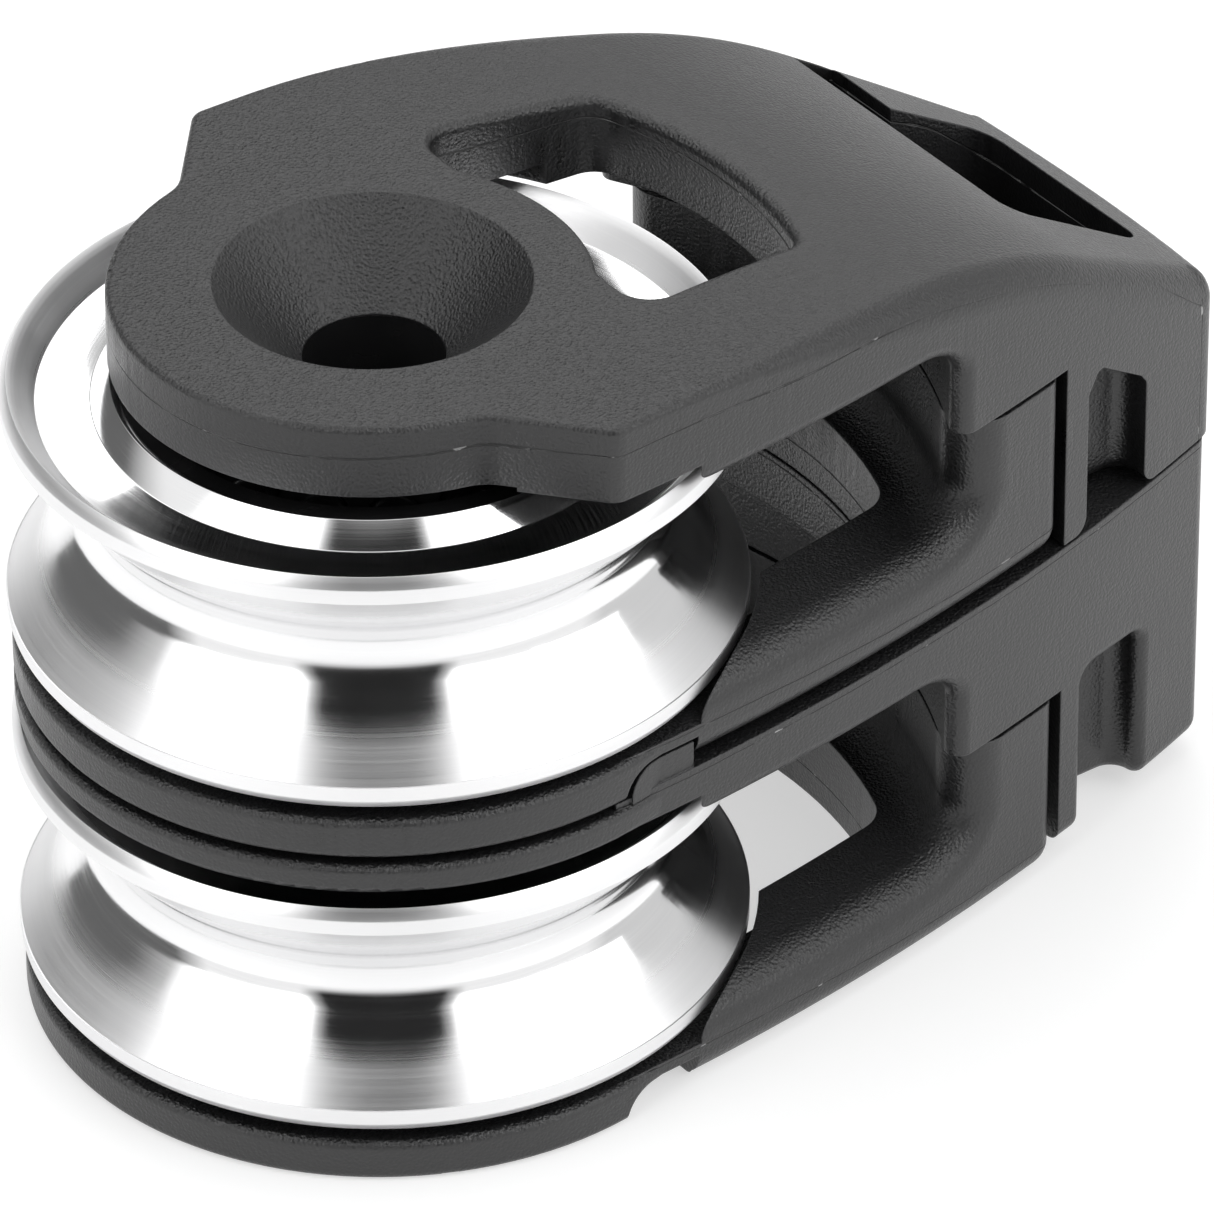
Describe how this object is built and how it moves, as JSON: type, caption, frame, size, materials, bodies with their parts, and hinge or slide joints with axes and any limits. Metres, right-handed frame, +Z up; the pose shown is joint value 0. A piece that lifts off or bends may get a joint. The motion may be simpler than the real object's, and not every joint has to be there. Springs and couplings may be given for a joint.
{
  "type": "double sheave block",
  "caption": "Stacked footblock: aluminium sheaves with a V groove turn one above the other on a bolt axis between black moulded plates with a hooded tail.",
  "frame": {"origin": "on the sheave axis, in the plane the block stands on", "axes": "+Z up along the sheave axis, +X from the axis towards the tail"},
  "size_m": [0.0663, 0.038, 0.0426],
  "materials": {
    "black_nylon": "fine spark-eroded texture",
    "black_acetal": "smooth",
    "black_ball": "polished",
    "turned_aluminium": "fine turned"
  },
  "bodies": {
    "frame": {"top_cap": "black_nylon", "upper_base": "black_nylon", "mid_cap": "black_nylon", "lower_base": "black_nylon", "upper_hub": "black_acetal", "lower_hub": "black_acetal"},
    "upper_sheave": {"upper_sheave": "turned_aluminium", "upper_retainer_top": "black_acetal", "upper_retainer_bottom": "black_acetal"},
    "upper_ball_row_top": {"upper_balls_top": "black_ball", "upper_ball_cage_top": "black_acetal"},
    "upper_ball_row_bottom": {"upper_balls_bottom": "black_ball", "upper_ball_cage_bottom": "black_acetal"},
    "upper_roller_row": {"upper_rollers": "black_ball", "upper_roller_cage": "black_acetal"},
    "lower_sheave": {"lower_sheave": "turned_aluminium", "lower_retainer_top": "black_acetal", "lower_retainer_bottom": "black_acetal"},
    "lower_ball_row_top": {"lower_balls_top": "black_ball", "lower_ball_cage_top": "black_acetal"},
    "lower_ball_row_bottom": {"lower_balls_bottom": "black_ball", "lower_ball_cage_bottom": "black_acetal"},
    "lower_roller_row": {"lower_rollers": "black_ball", "lower_roller_cage": "black_acetal"}
  },
  "joints": [
    {"name": "upper_sheave_spin", "type": "hinge", "parent": "frame", "child": "upper_sheave", "pos_m": [0, 0, 0.03032], "axis": [0, 0, 1], "continuous": true},
    {"name": "upper_ball_row_top_spin", "type": "hinge", "parent": "frame", "child": "upper_ball_row_top", "pos_m": [0, 0, 0.03495], "axis": [0, 0, 1], "continuous": true},
    {"name": "upper_ball_row_bottom_spin", "type": "hinge", "parent": "frame", "child": "upper_ball_row_bottom", "pos_m": [0, 0, 0.02569], "axis": [0, 0, 1], "continuous": true},
    {"name": "upper_roller_row_spin", "type": "hinge", "parent": "frame", "child": "upper_roller_row", "pos_m": [0, 0, 0.03032], "axis": [0, 0, 1], "continuous": true},
    {"name": "lower_sheave_spin", "type": "hinge", "parent": "frame", "child": "lower_sheave", "pos_m": [0, 0, 0.01012], "axis": [0, 0, 1], "continuous": true},
    {"name": "lower_ball_row_top_spin", "type": "hinge", "parent": "frame", "child": "lower_ball_row_top", "pos_m": [0, 0, 0.01475], "axis": [0, 0, 1], "continuous": true},
    {"name": "lower_ball_row_bottom_spin", "type": "hinge", "parent": "frame", "child": "lower_ball_row_bottom", "pos_m": [0, 0, 0.00549], "axis": [0, 0, 1], "continuous": true},
    {"name": "lower_roller_row_spin", "type": "hinge", "parent": "frame", "child": "lower_roller_row", "pos_m": [0, 0, 0.01012], "axis": [0, 0, 1], "continuous": true}
  ],
  "couplings": [
    {"joint": "upper_ball_row_top_spin", "follows": "upper_sheave_spin", "ratio": 0.5731},
    {"joint": "upper_ball_row_bottom_spin", "follows": "upper_sheave_spin", "ratio": 0.5731},
    {"joint": "upper_roller_row_spin", "follows": "upper_sheave_spin", "ratio": 0.5731},
    {"joint": "lower_ball_row_top_spin", "follows": "lower_sheave_spin", "ratio": 0.5731},
    {"joint": "lower_ball_row_bottom_spin", "follows": "lower_sheave_spin", "ratio": 0.5731},
    {"joint": "lower_roller_row_spin", "follows": "lower_sheave_spin", "ratio": 0.5731}
  ]
}
